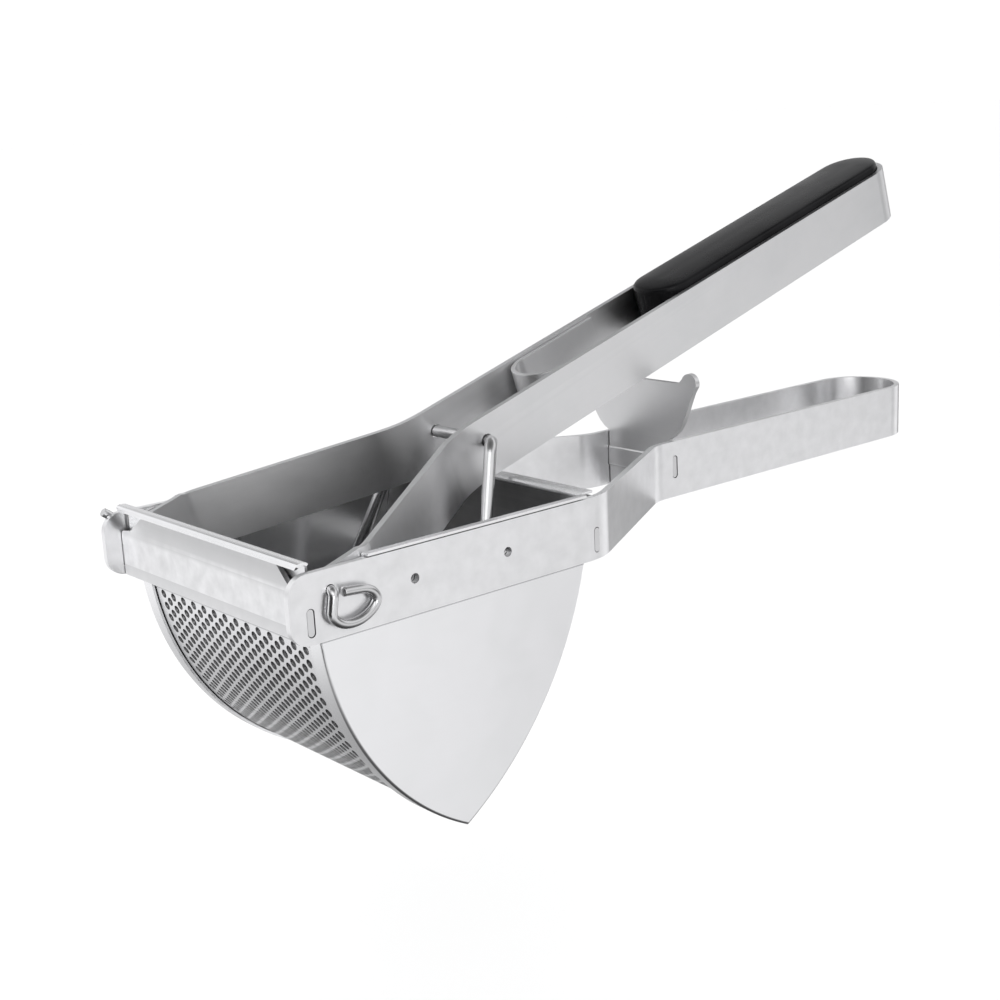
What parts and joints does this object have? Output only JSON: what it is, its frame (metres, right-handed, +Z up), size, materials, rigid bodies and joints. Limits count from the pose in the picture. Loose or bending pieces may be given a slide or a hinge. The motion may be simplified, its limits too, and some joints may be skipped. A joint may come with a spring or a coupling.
{
  "type": "potato ricer",
  "caption": "Strip-steel lever ricer: V-shaped perforated basket in a frame that runs on as the lower handle, hinged upper handle with a dark grip, and a press plate on a wire link.",
  "frame": {"origin": "middle of the front plate's outer face, halfway up the frame strip", "axes": "+X towards the handles' ends, +Y towards the far side (away from the pin's loop), +Z up"},
  "size_m": [0.3305, 0.1112, 0.1818],
  "materials": {
    "satin_steel": "satin stainless strip",
    "basket_steel": "smooth stainless sheet",
    "wire_steel": "polished stainless wire",
    "grip_black": "glossy black moulding"
  },
  "bodies": {
    "frame": {"frame_strip": "satin_steel", "front_plate": "satin_steel", "rear_cross_bar": "satin_steel", "guard_plate": "satin_steel", "hinge_pin": "wire_steel", "side_plate_near": "basket_steel", "side_plate_far": "basket_steel", "front_wall": "basket_steel", "back_wall": "basket_steel"},
    "upper_handle": {"upper_handle_strip": "satin_steel", "handle_strap": "satin_steel", "grip": "grip_black"},
    "press": {"link_wire": "wire_steel", "press_plate": "basket_steel", "press_lug_near": "basket_steel", "press_lug_far": "basket_steel"}
  },
  "joints": [
    {"name": "handle_hinge", "type": "hinge", "parent": "frame", "child": "upper_handle", "pos_m": [0.008, 0, 0.004], "axis": [0, -1, 0], "range_deg": [-1.4, 75]},
    {"name": "press_swing", "type": "hinge", "parent": "upper_handle", "child": "press", "pos_m": [0.0974, 0, 0.0243], "axis": [0, -1, 0], "range_deg": [-6.5, 0.5]}
  ],
  "couplings": [
    {"joint": "press_swing", "follows": "handle_hinge", "ratio": -0.08}
  ]
}
